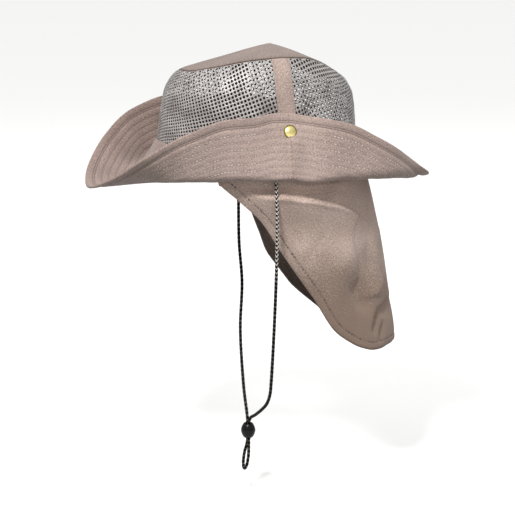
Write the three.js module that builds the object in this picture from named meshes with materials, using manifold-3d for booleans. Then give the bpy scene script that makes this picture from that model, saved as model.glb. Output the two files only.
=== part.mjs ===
// Flap sun hat: a wide-brimmed cloth hat with a net crown, both sides of the brim folded up and
// held by snaps, a neck flap hanging behind, and a chin cord with a bead.
// Units mm. The wearer looks along -Y, +X is the wearer's left, +Z is up. The origin is the middle
// of the head opening. A "turn" is the angle round the crown: 0 front, 90 side, 180 back.
import * as THREE from "three";
import { mergeVertices } from "three/addons/utils/BufferGeometryUtils.js";
import Module from "manifold-3d";

// ---------- driving sizes ----------
const gap = 0.3; // clearance between pieces that are sewn or seated together
const footGap = 0.2; // added under the crown's wall, where the brim slopes away

const baseHalfLength = 99; // crown at its base, front to back
const baseHalfWidth = 84; // crown at its base, side to side
const baseArch = 8; // the base line rises this much at the front and dips as much at the sides
const seamHalfLength = 83.5; // crown at the seam of its top
const seamHalfWidth = 56;
const seamShift = 4.7; // the top sits this far behind the base
const crownHeight = 92; // top seam above the origin, at the side
const topRise = 98.5; // highest point of the top
const topTilt = 13; // the top's seam sinks this much from the wearer's left to the right
const topBack = 14; // the highest point lies this far behind the middle
const topRoundness = 1.15; // 1 would be a straight-sided cone

const netThickness = 1.0;
const stripWidth = 17;
const stripThickness = 1.6;
const stripTurnAtBase = 94; // the side strip leans forward as it rises
const stripTurnAtSeam = 90;
const topThickness = 1.4;

const brimWidth = 82;
const brimThickness = 2.0;

const flapThickness = 1.2;
const flapHalfWidth = 66; // at the front corners of its hem
const flapReach = 150; // hem behind the origin
const flapDrop = 212; // hem below the origin
const flapFrontTurn = 48; // the flap starts here, beside the temple
const bellyFlatness = 0.4; // how soon the swell of the cloth reaches its full depth

const cordDiameter = 3.2;
const cordSides = 8;
const cordSteps = 78;
const beadDiameter = 15;
const beadHeight = 15;
const beadWaist = 0.62; // the bead's ends as a share of its diameter

const capDiameter = 13;
const capRise = 2.6;
const capEdge = 0.9;
const postDiameter = 4.4;
const postHole = postDiameter + 2 * gap;
const socketDiameter = 11.5;
const socketThickness = 1.8;
const snapInset = 18; // snap centre in from the rim
const snapTurn = 92.8;
const outerLegShare = 0.74; // the brim beyond its fold, at the snap, over brimWidth

// ---------- short tables: shares of the sizes above, one row per section ----------
// Crown wall: height is the top seam over crownHeight; lean is the part of the inward lean that
// is straight, the rest comes in near the seam; rounding is how late it comes.
const wallRows = [
  { turn: 0, height: 0.908, lean: 0.5, rounding: 8 },
  { turn: 20, height: 0.889, lean: 0.5, rounding: 8 },
  { turn: 46, height: 0.924, lean: 0.55, rounding: 7 },
  { turn: 70, height: 0.975, lean: 0.6, rounding: 6 },
  { turn: 90, height: 0.993, lean: 0.6, rounding: 6 },
  { turn: 108, height: 0.984, lean: 0.5, rounding: 6 },
  { turn: 124, height: 0.92, lean: 0.3, rounding: 5 },
  { turn: 140, height: 0.835, lean: 0.15, rounding: 5 },
  { turn: 160, height: 0.77, lean: 0.08, rounding: 5 },
  { turn: 180, height: 0.77, lean: 0.08, rounding: 5 },
];

// Brim: each section runs from the crown to a fold line, then on to the rim. out and drop place
// the fold, rimOut and rimUp the rim, bend is the radius of the fold, all over brimWidth. A rim
// that is folded up has its rimOut measured from the crown's wall beside it. swing turns the
// section away from square to the crown, in degrees, towards the back.
const brimRows = [
  { turn: 0, out: 0.82, drop: 0.49, rimOut: 0.885, rimUp: -0.496, bend: 0.6, swing: 0 },
  { turn: 15, out: 0.55, drop: 0.43, rimOut: 0.836, rimUp: -0.340, bend: 0.13, swing: -1 },
  { turn: 30, out: 0.37, drop: 0.38, rimOut: 0.734, rimUp: -0.009, bend: 0.13, swing: -2 },
  { turn: 45, out: 0.31, drop: 0.37, rimOut: 0.613, rimUp: 0.339, bend: 0.13, swing: 0 },
  { turn: 60, out: 0.22, drop: 0.47, rimOut: 0.400, rimUp: 0.557, bend: 0.1, swing: 1 },
  { turn: 74, out: 0.24, drop: 0.54, rimOut: 0.175, rimUp: 0.571, bend: 0.06, swing: 1 },
  { turn: 84, out: 0.23, drop: 0.59, rimOut: 0.069, rimUp: 0.602, bend: 0.035, swing: 0 },
  { turn: 92, out: 0.23, drop: 0.59, rimOut: 0.066, rimUp: 0.599, bend: 0.035, swing: 0 },
  { turn: 100, out: 0.24, drop: 0.59, rimOut: 0.067, rimUp: 0.564, bend: 0.035, swing: 0 },
  { turn: 110, out: 0.25, drop: 0.59, rimOut: 0.177, rimUp: 0.508, bend: 0.06, swing: 0 },
  { turn: 122, out: 0.28, drop: 0.57, rimOut: 0.331, rimUp: 0.397, bend: 0.1, swing: 0 },
  { turn: 135, out: 0.48, drop: 0.50, rimOut: 0.493, rimUp: 0.166, bend: 0.13, swing: -1 },
  { turn: 150, out: 0.67, drop: 0.53, rimOut: 0.689, rimUp: -0.156, bend: 0.13, swing: 1 },
  { turn: 165, out: 0.70, drop: 0.46, rimOut: 0.917, rimUp: -0.470, bend: 0.12, swing: 2 },
  { turn: 180, out: 0.73, drop: 0.43, rimOut: 0.930, rimUp: -0.580, bend: 0.6, swing: 0 },
];

// Flap: where the hem of each section hangs. side is its distance to the side over flapHalfWidth
// times the sine of the turn, which rounds the middle of the back; back is over flapReach,
// down over flapDrop; belly is how far the cloth swells out between, over flapHalfWidth; farBack
// is how much further back the wearer's right side hangs, over flapReach.
const flapRows = [
  { turn: 48, side: 1.35, back: -0.439, down: 0.129, belly: 0, farBack: 0.1 },
  { turn: 58, side: 1.18, back: -0.360, down: 0.146, belly: 0.01, farBack: 0.13 },
  { turn: 70, side: 1.06, back: -0.258, down: 0.205, belly: 0.03, farBack: 0.15 },
  { turn: 85, side: 0.94, back: -0.102, down: 0.312, belly: 0.05, farBack: 0.16 },
  { turn: 100, side: 0.88, back: 0.039, down: 0.458, belly: 0.06, farBack: 0.11 },
  { turn: 115, side: 0.89, back: 0.176, down: 0.596, belly: 0.07, farBack: 0.05 },
  { turn: 130, side: 0.97, back: 0.299, down: 0.716, belly: 0.08, farBack: 0.05 },
  { turn: 145, side: 1.24, back: 0.447, down: 0.871, belly: 0.1, farBack: 0.14 },
  { turn: 155, side: 1.61, back: 0.553, down: 0.931, belly: 0.11, farBack: 0.09 },
  { turn: 162, side: 2.11, back: 0.645, down: 0.967, belly: 0.12, farBack: 0.06 },
  { turn: 168, side: 2.77, back: 0.753, down: 0.989, belly: 0.13, farBack: 0.04 },
  { turn: 174, side: 3.62, back: 0.862, down: 0.992, belly: 0.14, farBack: 0.02 },
  { turn: 180, side: 4.20, back: 0.982, down: 0.991, belly: 0.14, farBack: 0 },
];

// Middle line of the cord, from the wearer's left under the brim, through the bead, round the
// small loop, back up through the bead and on to the wearer's right.
const cordRoute = [
  [84.6, -9, -18],
  [83.6, -8.5, -27],
  [79.5, -6, -58],
  [71, -3.4, -108],
  [62, -2.6, -174],
  [56, -3.4, -228],
  [53, -3.6, -242],
  [46, -4.2, -253],
  [33, -5.2, -263],
  [16, -6.8, -273.5],
  [6, -8, -279],
  [1.9, -8.4, -285.5],
  [1.9, -8.4, -301.5],
  [3.2, -8.9, -309],
  [6.2, -10.3, -318.5],
  [5.2, -12, -329.5],
  [0, -12.8, -333.8],
  [-5.2, -12, -329.5],
  [-6.2, -10.3, -318.5],
  [-3.2, -8.9, -309],
  [-1.9, -8.4, -301.5],
  [-1.9, -8.4, -285.5],
  [-4.5, -8.2, -277],
  [-11, -8, -264],
  [-18, -7.6, -247],
  [-31, -6.3, -195],
  [-44, 0, -149],
  [-58, 1.6, -110],
  [-78, 7.5, -58],
  [-83.6, 8, -27],
  [-84.6, 8, -18],
];
const beadCentre = [0, -8.4, -293.5];

// ---------- small helpers ----------
const rad = THREE.MathUtils.degToRad;
const mix = THREE.MathUtils.lerp;

// Smooth value of one column of a table between its rows, never beyond the rows beside it.
function tableValue(rows, column, turn) {
  const last = rows.length - 1;
  let i = 0;
  while (i < last - 1 && turn > rows[i + 1].turn) i++;
  const rate = (k) => (rows[k + 1][column] - rows[k][column]) / (rows[k + 1].turn - rows[k].turn);
  const slope = (k) => {
    if (k <= 0 || k >= last || rate(k - 1) * rate(k) <= 0) return 0;
    return (2 * rate(k - 1) * rate(k)) / (rate(k - 1) + rate(k));
  };
  const span = rows[i + 1].turn - rows[i].turn;
  const t = THREE.MathUtils.clamp((turn - rows[i].turn) / span, 0, 1);
  const a = rows[i][column];
  const b = rows[i + 1][column];
  const rise = (2 * t - 3) * t * t;
  return (
    a * (1 + rise) -
    b * rise +
    span * (slope(i) * t * (t - 1) * (t - 1) + slope(i + 1) * t * t * (t - 1))
  );
}

// Turns run -180 to 360; positive ones up to 180 lie on the wearer's left.
const fromFront = (turn) => (turn > 180 ? 360 - turn : Math.abs(turn));

// Base line of the crown.
function basePoint(turn) {
  return new THREE.Vector3(
    baseHalfWidth * Math.sin(rad(turn)),
    -baseHalfLength * Math.cos(rad(turn)),
    baseArch * Math.cos(2 * rad(turn)),
  );
}

function seamPoint(turn) {
  const sink = (topTilt * (1 - Math.sin(rad(turn)))) / 2;
  return new THREE.Vector3(
    seamHalfWidth * Math.sin(rad(turn)),
    seamShift - seamHalfLength * Math.cos(rad(turn)),
    crownHeight * tableValue(wallRows, "height", fromFront(turn)) - sink,
  );
}

// Middle surface of the crown wall: up runs 0 at the base line to 1 at the top seam.
function wallPoint(turn, up) {
  const base = basePoint(turn);
  const seam = seamPoint(turn);
  const lean = tableValue(wallRows, "lean", fromFront(turn));
  const inward = lean * up + (1 - lean) * up ** tableValue(wallRows, "rounding", fromFront(turn));
  return new THREE.Vector3(mix(base.x, seam.x, inward), mix(base.y, seam.y, inward), mix(base.z, seam.z, up));
}

// Middle surface of the crown's top: out runs 0 at the peak to 1 at the seam.
function topPoint(turn, out) {
  const seam = seamPoint(turn);
  return new THREE.Vector3(
    seam.x * out,
    mix(topBack, seam.y, out),
    mix(topRise, seam.z, out ** topRoundness),
  );
}

// Middle surface of the brim: out runs 0 at the crown to 1 at the fold, 2 beyond the fold and 3 at
// the rim, each stage by length.
function brimPoint(turn, out) {
  const read = (column) => tableValue(brimRows, column, fromFront(turn));
  const base = basePoint(turn);
  const beside = wallPoint(turn, (Math.max(0, read("rimUp")) * brimWidth) / crownHeight);
  const leanIn = Math.hypot(base.x - beside.x, base.y - beside.y);
  const corner = new THREE.Vector2(read("out"), -read("drop")).multiplyScalar(brimWidth);
  const rim = new THREE.Vector2(read("rimOut") * brimWidth - leanIn, read("rimUp") * brimWidth);
  const first = corner.length();
  const into = corner.clone().normalize();
  const leaving = rim.clone().sub(corner);
  const second = leaving.length();
  leaving.normalize();
  const bendAngle = Math.acos(THREE.MathUtils.clamp(into.dot(leaving), -1, 1));
  const wanted = read("bend") * brimWidth * Math.tan(bendAngle / 2);
  const tangent = Math.min(wanted, 0.9 * first, 0.9 * second);
  const radius = tangent / Math.tan(bendAngle / 2);
  const at = new THREE.Vector2();
  if (out <= 1) {
    at.copy(into).multiplyScalar((first - tangent) * out);
  } else if (out >= 2) {
    at.copy(corner).addScaledVector(leaving, mix(tangent, second, out - 2));
  } else {
    const angle = bendAngle * (out - 1);
    const side = Math.sign(into.x * leaving.y - into.y * leaving.x);
    const square = new THREE.Vector2(-into.y * side, into.x * side);
    at.copy(corner).addScaledVector(into, radius * Math.sin(angle) - tangent);
    at.addScaledVector(square, radius * (1 - Math.cos(angle)));
  }
  const heading = Math.atan2(baseHalfLength * Math.sin(rad(turn)), baseHalfWidth * Math.cos(rad(turn)));
  const swung = heading + rad(read("swing")) * Math.sign(turn);
  return new THREE.Vector3(base.x + at.x * Math.sin(swung), base.y - at.x * Math.cos(swung), base.z + at.y);
}

// Middle surface of the flap: down runs 0 under the crown's base line to 1 at the hem.
function flapPoint(turn, down) {
  const read = (column) => tableValue(flapRows, column, fromFront(turn));
  const base = basePoint(turn);
  const tuck = 1 - (brimThickness / 2 + gap + flapThickness / 2) / baseHalfWidth;
  const head = new THREE.Vector3(base.x * tuck, base.y * tuck, base.z - brimThickness / 2 - gap);
  const hem = new THREE.Vector3(
    read("side") * flapHalfWidth * Math.sin(rad(turn)),
    (read("back") + (turn < 0 ? read("farBack") : 0)) * flapReach,
    -read("down") * flapDrop,
  );
  const swell = read("belly") * flapHalfWidth * Math.sin(Math.PI * down) ** bellyFlatness;
  const at = head.lerp(hem, down);
  at.x += swell * Math.sin(rad(turn));
  at.y -= swell * Math.cos(rad(turn));
  return at;
}

// A closed sheet of cloth about a middle surface. point(a, b) takes shares 0 to 1. A ring joins
// a = 1 to a = 0; a capped sheet ends in one point at b = 1.
function sheetGeometry(point, aCount, bCount, thickness, { ring = false, capped = false } = {}) {
  const positions = [];
  const index = [];
  const aPoints = ring ? aCount : aCount + 1;
  const step = 1e-3;
  const wrap = (a) => (ring ? (a + 1) % 1 : THREE.MathUtils.clamp(a, 0, 1));
  for (const side of [1, -1]) {
    for (let j = 0; j <= bCount; j++) {
      for (let i = 0; i < aPoints; i++) {
        const a = i / aCount;
        const tip = capped && j === bCount;
        const b = tip ? 1 - step : j / bCount;
        const middle = point(wrap(a), j / bCount);
        const alongA = point(wrap(a + step), b).sub(point(wrap(a - step), b));
        const alongB = point(wrap(a), Math.min(1, b + step)).sub(point(wrap(a), Math.max(0, b - step)));
        const normal = tip ? new THREE.Vector3(0, 0, 1) : alongA.cross(alongB).normalize();
        middle.addScaledVector(normal, (side * thickness) / 2);
        positions.push(middle.x, middle.y, middle.z);
      }
    }
  }
  const id = (side, i, j) => side * aPoints * (bCount + 1) + j * aPoints + (ring ? i % aCount : i);
  const quad = (a, b, c, d) => index.push(a, b, c, a, c, d);
  for (let j = 0; j < bCount; j++) {
    const tip = capped && j === bCount - 1;
    for (let i = 0; i < aCount; i++) {
      if (tip) {
        index.push(id(0, i, j), id(0, i + 1, j), id(0, 0, bCount));
        index.push(id(1, i + 1, j), id(1, i, j), id(1, 0, bCount));
      } else {
        quad(id(0, i, j), id(0, i + 1, j), id(0, i + 1, j + 1), id(0, i, j + 1));
        quad(id(1, i + 1, j), id(1, i, j), id(1, i, j + 1), id(1, i + 1, j + 1));
      }
    }
  }
  for (let i = 0; i < aCount; i++) {
    quad(id(1, i, 0), id(1, i + 1, 0), id(0, i + 1, 0), id(0, i, 0));
    if (!capped) quad(id(0, i, bCount), id(0, i + 1, bCount), id(1, i + 1, bCount), id(1, i, bCount));
  }
  if (!ring) {
    for (let j = 0; j < bCount; j++) {
      quad(id(0, 0, j), id(0, 0, j + 1), id(1, 0, j + 1), id(1, 0, j));
      quad(id(1, aCount, j), id(1, aCount, j + 1), id(0, aCount, j + 1), id(0, aCount, j));
    }
  }
  const geometry = new THREE.BufferGeometry();
  geometry.setAttribute("position", new THREE.Float32BufferAttribute(positions, 3));
  geometry.setIndex(index);
  geometry.computeVertexNormals();
  return geometry;
}

const manifold = await Module();
manifold.setup();

function toSolid(geometry) {
  const bare = new THREE.BufferGeometry();
  bare.setAttribute("position", geometry.getAttribute("position"));
  if (geometry.index) bare.setIndex(geometry.index);
  const merged = mergeVertices(bare, 1e-4);
  return new manifold.Manifold(
    new manifold.Mesh({
      numProp: 3,
      vertProperties: new Float32Array(merged.attributes.position.array),
      triVerts: new Uint32Array(merged.index.array),
    }),
  );
}

function toGeometry(solid) {
  const mesh = solid.getMesh();
  const geometry = new THREE.BufferGeometry();
  geometry.setAttribute("position", new THREE.BufferAttribute(new Float32Array(mesh.vertProperties), 3));
  geometry.setIndex(new THREE.BufferAttribute(new Uint32Array(mesh.triVerts), 1));
  geometry.computeVertexNormals();
  return geometry;
}

// ---------- finishes ----------
const finish = (color, roughness, metalness) => new THREE.MeshStandardMaterial({ color, roughness, metalness });
const cotton = finish(0x938975, 0.95, 0);
const net = finish(0x8f8775, 0.7, 0);
const brass = finish(0xa8935c, 0.35, 1);
const blackPlastic = finish(0x121112, 0.2, 0);
const cordYarn = finish(0x3a2f28, 0.85, 0);

const hat = new THREE.Group();
hat.name = "flap_sun_hat";
function add(name, geometry, material) {
  const mesh = new THREE.Mesh(geometry, material);
  mesh.name = name;
  hat.add(mesh);
  return mesh;
}

// ---------- crown: net wall in two panels, a strip at each side, and the top ----------
const stripTurn = (up) => mix(stripTurnAtBase, stripTurnAtSeam, up);
// Half the strip's width as a turn, at a height on the wall.
const halfWidthTurn = (width, up) => THREE.MathUtils.radToDeg(width / 2 / mix(baseHalfLength, seamHalfLength, up));
const wallFoot = (brimThickness / 2 + gap + footGap) / crownHeight;
const wallHead = 1 - (topThickness / 2 + gap) / crownHeight;
const wallUp = (b) => mix(wallFoot, wallHead, b);

function wallPanel(fromTurn, toTurn, aCount, thickness) {
  const point = (a, b) => {
    const up = wallUp(b);
    return wallPoint(mix(fromTurn(up), toTurn(up), a), up);
  };
  return sheetGeometry(point, aCount, 8, thickness);
}
const netEdge = (up) => halfWidthTurn(stripWidth + 2 * gap, up);
add("crown_net_front", wallPanel((up) => -(stripTurn(up) - netEdge(up)), (up) => stripTurn(up) - netEdge(up), 30, netThickness), net);
add("crown_net_back", wallPanel((up) => stripTurn(up) + netEdge(up), (up) => 360 - stripTurn(up) - netEdge(up), 30, netThickness), net);
for (const [name, sign] of [["left", 1], ["right", -1]]) {
  const near = (up) => sign * (stripTurn(up) - sign * halfWidthTurn(stripWidth, up));
  const far = (up) => sign * (stripTurn(up) + sign * halfWidthTurn(stripWidth, up));
  add("crown_strip_" + name, wallPanel(near, far, 3, stripThickness), cotton);
}
add("crown_top", sheetGeometry((a, b) => topPoint(360 * a - 180, 1 - b), 48, 6, topThickness, { ring: true, capped: true }), cotton);

// ---------- snaps: a cap with its post through the brim, and a socket on the strip ----------
const snapPlace = 3 - snapInset / (brimWidth * outerLegShare);
function snapFrame(sign) {
  const turn = sign * snapTurn;
  const at = brimPoint(turn, snapPlace);
  const alongTurn = brimPoint(turn + 0.5, snapPlace).sub(brimPoint(turn - 0.5, snapPlace));
  const alongOut = brimPoint(turn, snapPlace + 0.02).sub(brimPoint(turn, snapPlace - 0.02));
  const outward = alongTurn.cross(alongOut).normalize();
  if (outward.x * sign < 0) outward.negate();
  return new THREE.Matrix4()
    .makeRotationFromQuaternion(new THREE.Quaternion().setFromUnitVectors(new THREE.Vector3(0, 1, 0), outward))
    .setPosition(at);
}
const capSeat = brimThickness / 2 + gap;
const socketFace = -(brimThickness / 2 + gap);
const postEnd = socketFace - socketThickness * 0.6;
const capProfile = [
  [0, postEnd],
  [postDiameter / 2, postEnd],
  [postDiameter / 2, capSeat],
  [capDiameter / 2 - 0.4, capSeat],
  [capDiameter / 2, capSeat + capEdge / 2],
  [capDiameter / 2 - 0.4, capSeat + capEdge],
  [capDiameter / 2 - 1.1, capSeat + capEdge * 1.1],
  [capDiameter * 0.36, capSeat + capRise * 0.66],
  [capDiameter * 0.22, capSeat + capRise * 0.9],
  [0, capSeat + capRise],
].map(([r, y]) => new THREE.Vector2(r, y));
const socketProfile = [
  [postHole / 2, socketFace],
  [postHole / 2, socketFace - socketThickness],
  [socketDiameter / 2 - 0.5, socketFace - socketThickness],
  [socketDiameter / 2, socketFace - socketThickness / 2],
  [socketDiameter / 2 - 0.5, socketFace],
  [postHole / 2, socketFace],
].map(([r, y]) => new THREE.Vector2(r, y));
const holeProfile = [
  [0, -6],
  [postHole / 2, -6],
  [postHole / 2, 6],
  [0, 6],
].map(([r, y]) => new THREE.Vector2(r, y));

let brimSolid = toSolid(sheetGeometry((a, b) => brimPoint(360 * a - 180, 3 * b), 90, 9, brimThickness, { ring: true }));
for (const [name, sign] of [["left", 1], ["right", -1]]) {
  const frame = snapFrame(sign);
  const cutter = new THREE.LatheGeometry(holeProfile, 16).applyMatrix4(frame);
  brimSolid = brimSolid.subtract(toSolid(cutter));
  add("snap_cap_" + name, new THREE.LatheGeometry(capProfile, 16).applyMatrix4(frame), brass);
  add("snap_socket_" + name, new THREE.LatheGeometry(socketProfile, 16).applyMatrix4(frame), brass);
}
add("brim", toGeometry(brimSolid), cotton);

// ---------- neck flap ----------
// Columns lie closer together at the middle of the back, where the cloth turns sharpest.
const flapTurn = (a) => 180 + (180 - flapFrontTurn) * Math.sign(2 * a - 1) * Math.abs(2 * a - 1) ** 1.5;
const signedTurn = (turn) => (turn > 180 ? turn - 360 : turn);
add("neck_flap", sheetGeometry((a, b) => flapPoint(signedTurn(flapTurn(a)), b), 40, 12, flapThickness), cotton);

// ---------- chin cord and its bead ----------
const route = new THREE.CatmullRomCurve3(cordRoute.map((p) => new THREE.Vector3(...p)), false, "centripetal");
const circle = new THREE.Shape();
for (let i = 0; i < cordSides; i++) {
  const angle = (2 * Math.PI * i) / cordSides;
  const x = (cordDiameter / 2) * Math.cos(angle);
  const y = (cordDiameter / 2) * Math.sin(angle);
  if (i === 0) circle.moveTo(x, y);
  else circle.lineTo(x, y);
}
circle.closePath();
add("chin_cord", new THREE.ExtrudeGeometry(circle, { steps: cordSteps, extrudePath: route, bevelEnabled: false }), cordYarn);

const boreRadius = cordDiameter + 2 * gap + 0.1;
const beadProfile = [
  [boreRadius, -beadHeight / 2],
  [(beadDiameter / 2) * beadWaist, -beadHeight / 2],
  [(beadDiameter / 2) * 0.9, -beadHeight * 0.2],
  [beadDiameter / 2, 0],
  [(beadDiameter / 2) * 0.9, beadHeight * 0.2],
  [(beadDiameter / 2) * beadWaist, beadHeight / 2],
  [boreRadius, beadHeight / 2],
  [boreRadius, -beadHeight / 2],
].map(([r, y]) => new THREE.Vector2(r, y));
const beadGeometry = new THREE.LatheGeometry(beadProfile, 24);
beadGeometry.rotateX(Math.PI / 2);
beadGeometry.translate(...beadCentre);
add("cord_lock", beadGeometry, blackPlastic);

export default hat;
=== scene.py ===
# %% [markdown]
# # A sun hat with a neck flap
# The real hat is cut from cotton twill and open net, sewn together, with two brass snaps and a
# braided chin cord. Cloth is a thin sheet with a shape, so nearly every piece here starts as a
# flat grid, is moved onto the surface that it follows, and then gets a wall. Everything is in
# metres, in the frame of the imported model, so each piece lands where its solid is.

import functools
import math
import bpy
import bmesh
import numpy as np
from mathutils import Matrix, Vector, noise


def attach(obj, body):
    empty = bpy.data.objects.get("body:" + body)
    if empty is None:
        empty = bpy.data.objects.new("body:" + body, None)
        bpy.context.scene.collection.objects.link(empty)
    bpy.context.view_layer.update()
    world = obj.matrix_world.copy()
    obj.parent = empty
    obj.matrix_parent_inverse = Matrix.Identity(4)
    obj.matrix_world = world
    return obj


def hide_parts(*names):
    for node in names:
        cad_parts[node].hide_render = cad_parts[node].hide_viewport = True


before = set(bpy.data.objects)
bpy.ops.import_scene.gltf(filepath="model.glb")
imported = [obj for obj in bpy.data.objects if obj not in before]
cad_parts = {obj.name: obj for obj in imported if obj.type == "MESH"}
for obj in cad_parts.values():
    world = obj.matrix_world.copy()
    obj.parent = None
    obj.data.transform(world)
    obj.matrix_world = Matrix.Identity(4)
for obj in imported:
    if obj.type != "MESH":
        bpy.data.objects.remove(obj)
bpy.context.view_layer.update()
mm = 0.001
print("nodes:", sorted(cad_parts))

# %% [markdown]
# ## The camera
# A view of the hat from its wearer's left, a little above, and from about two metres, as such
# pictures are taken. A long lens from far off keeps the near brim from growing against the far
# one. The place was found by matching the crown's base, the brim's tips and the hem of the flap.

# %% Camera
camera_turn = 71.0
camera_rise = 12.1
camera_distance = 2.0
picture_side = 515
pixels_per_metre = 1000.0
sensor_width_mm = 36.0
aim_point = Vector((0, 0, -0.1147))
aim_pixel_x = 256.0


def direction(turn, rise):
    """The way out of the hat, turned from its front to the wearer's left and raised, in degrees."""
    a, e = math.radians(turn), math.radians(rise)
    return Vector((math.sin(a) * math.cos(e), -math.cos(a) * math.cos(e), math.sin(e)))


camera_back = direction(camera_turn, camera_rise)
camera_data = bpy.data.cameras.new("camera")
camera = bpy.data.objects.new("camera", camera_data)
bpy.context.collection.objects.link(camera)
camera.location = aim_point + camera_back * camera_distance
camera.rotation_mode = "QUATERNION"
camera.rotation_quaternion = (-camera_back).to_track_quat("-Z", "Y")
camera_data.sensor_width = sensor_width_mm
camera_data.lens = sensor_width_mm * camera_distance * pixels_per_metre / picture_side
camera_data.shift_x = (picture_side / 2 - aim_pixel_x) / picture_side
camera_data.clip_start = 0.1
camera_data.clip_end = 100.0
bpy.context.scene.camera = camera
print("lens in mm:", round(camera_data.lens, 1))

# %% [markdown]
# ## Two helpers for every piece
# A finished mesh becomes an object at the origin that rides on the one body of the hat. A sheet
# of cloth is an operator's flat grid whose corners are then moved. The grid keeps two UV maps:
# "cloth" holds where each point lies on the flat cut, in metres, for the weave, and "seam" holds
# the way along the nearest sewn edge and the distance from it, for the stitches.

# %% Piece and cloth helpers
def finish_piece(name, bm, nodes=(), smooth=True):
    mesh = bpy.data.meshes.new(name)
    for face in bm.faces:
        face.smooth = smooth
    bm.to_mesh(mesh)
    bm.free()
    piece = bpy.data.objects.new(name, mesh)
    bpy.context.collection.objects.link(piece)
    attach(piece, "root")
    if nodes:
        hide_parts(*nodes)
    print(name, len(mesh.polygons), "faces")
    return piece


def cloth_grid(columns, rows, place, flat, seam, fullness=None, closed=False):
    bm = bmesh.new()
    cloth_map = bm.loops.layers.uv.new("cloth")
    seam_map = bm.loops.layers.uv.new("seam")
    full_layer = bm.verts.layers.deform.verify()
    bmesh.ops.create_grid(bm, x_segments=columns, y_segments=rows, size=0.5)
    bmesh.ops.translate(bm, verts=bm.verts, vec=(0.5, 0.5, 0))
    for face in bm.faces:
        for loop in face.loops:
            across, down = loop.vert.co.x, loop.vert.co.y
            loop[cloth_map].uv = flat(across, down)
            loop[seam_map].uv = seam(across, down)
    for vert in bm.verts:
        across, down = vert.co.x, vert.co.y
        if fullness:
            vert[full_layer][0] = fullness(across, down)
        vert.co = place(across, down)
    if closed:
        bmesh.ops.remove_doubles(bm, verts=bm.verts, dist=0.02 * mm)
    return bm


def give_wall(piece, thickness, thinnest=None):
    wall = piece.modifiers.new("wall", "SOLIDIFY")
    wall.thickness = thickness
    wall.offset = 0
    if thinnest is not None:
        piece.vertex_groups.new(name="fullness")
        wall.vertex_group = "fullness"
        wall.thickness_vertex_group = thinnest
    return wall


# %% [markdown]
# ## The chin cord's way
# One limp braided cord runs down from the wearer's left, through the bead, round a small loop,
# back through the bead and up to the wearer's right. It is drawn along a smooth curve through a
# few chosen points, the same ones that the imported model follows.

# %% Cord route
cord_diameter = 3.2 * mm
cord_route = [
    (0.0846, -0.009, -0.018),
    (0.0836, -0.0085, -0.027),
    (0.0795, -0.006, -0.058),
    (0.071, -0.0034, -0.108),
    (0.062, -0.0026, -0.174),
    (0.056, -0.0034, -0.228),
    (0.053, -0.0036, -0.242),
    (0.046, -0.0042, -0.253),
    (0.033, -0.0052, -0.263),
    (0.016, -0.0068, -0.2735),
    (0.006, -0.008, -0.279),
    (0.0019, -0.0084, -0.2855),
    (0.0019, -0.0084, -0.3015),
    (0.0032, -0.0089, -0.309),
    (0.0062, -0.0103, -0.3185),
    (0.0052, -0.012, -0.3295),
    (0.0, -0.0128, -0.3338),
    (-0.0052, -0.012, -0.3295),
    (-0.0062, -0.0103, -0.3185),
    (-0.0032, -0.0089, -0.309),
    (-0.0019, -0.0084, -0.3015),
    (-0.0019, -0.0084, -0.2855),
    (-0.0045, -0.0082, -0.277),
    (-0.011, -0.008, -0.264),
    (-0.018, -0.0076, -0.247),
    (-0.031, -0.0063, -0.195),
    (-0.044, 0.0, -0.149),
    (-0.058, 0.0016, -0.11),
    (-0.078, 0.0075, -0.058),
    (-0.0836, 0.008, -0.027),
    (-0.0846, 0.008, -0.018),
]


def way_along(points):
    """Length along a line of points, from its start to each of them."""
    steps = np.linalg.norm(np.diff(points, axis=0), axis=1)
    return np.concatenate([[0], np.cumsum(steps)])


def smooth_route(points, step):
    """Points a step apart along a centripetal Catmull-Rom curve through the given points."""
    given = np.array(points)
    ends = np.vstack([2 * given[0] - given[1], given, 2 * given[-1] - given[-2]])
    fine = []
    for p0, p1, p2, p3 in zip(ends, ends[1:], ends[2:], ends[3:]):
        d0, d1, d2 = (math.sqrt(np.linalg.norm(b - a)) for a, b in ((p0, p1), (p1, p2), (p2, p3)))
        leave = ((p1 - p0) / d0 - (p2 - p0) / (d0 + d1) + (p2 - p1) / d1) * d1
        arrive = ((p2 - p1) / d1 - (p3 - p1) / (d1 + d2) + (p3 - p2) / d2) * d1
        for t in np.linspace(0, 1, 40, endpoint=False):
            fine.append(
                p1 * (2 * t**3 - 3 * t**2 + 1)
                + p2 * (3 * t**2 - 2 * t**3)
                + leave * (t**3 - 2 * t**2 + t)
                + arrive * (t**3 - t**2)
            )
    fine.append(given[-1])
    fine = np.array(fine)
    along = way_along(fine)
    count = round(along[-1] / step)
    stops = np.linspace(0, along[-1], count + 1)
    return np.stack([np.interp(stops, along, fine[:, axis]) for axis in range(3)], 1), along[-1]


cord_points, cord_length = smooth_route(cord_route, 0.9 * mm)
print("cord length in m:", round(cord_length, 3), "points:", len(cord_points))

# %% [markdown]
# ## The chin cord
# A braid could be built strand by strand, but at three millimetres only its bumps and flecks
# show. So it is one tube: a flat grid rolled round the route, with its radius rising and falling
# where the strands cross. The tube's frame is carried along without twisting.

# %% Chin cord
braid_pitch = 4.4 * mm
braid_relief = 0.10
cord_tangents = np.gradient(cord_points, axis=0)
cord_tangents /= np.linalg.norm(cord_tangents, axis=1)[:, None]
cord_sides = [Vector((0, 1, 0))]
for tangent in cord_tangents[1:]:
    t = Vector(tangent)
    cord_sides.append((cord_sides[-1] - t * cord_sides[-1].dot(t)).normalized())


def braid_height(way, angle):
    """From -1 to 1: the higher of two families of strands that wind opposite ways."""
    wind = 2 * math.pi * way / braid_pitch
    return max(math.cos(2 * angle + wind), math.cos(2 * angle - wind))


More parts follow.
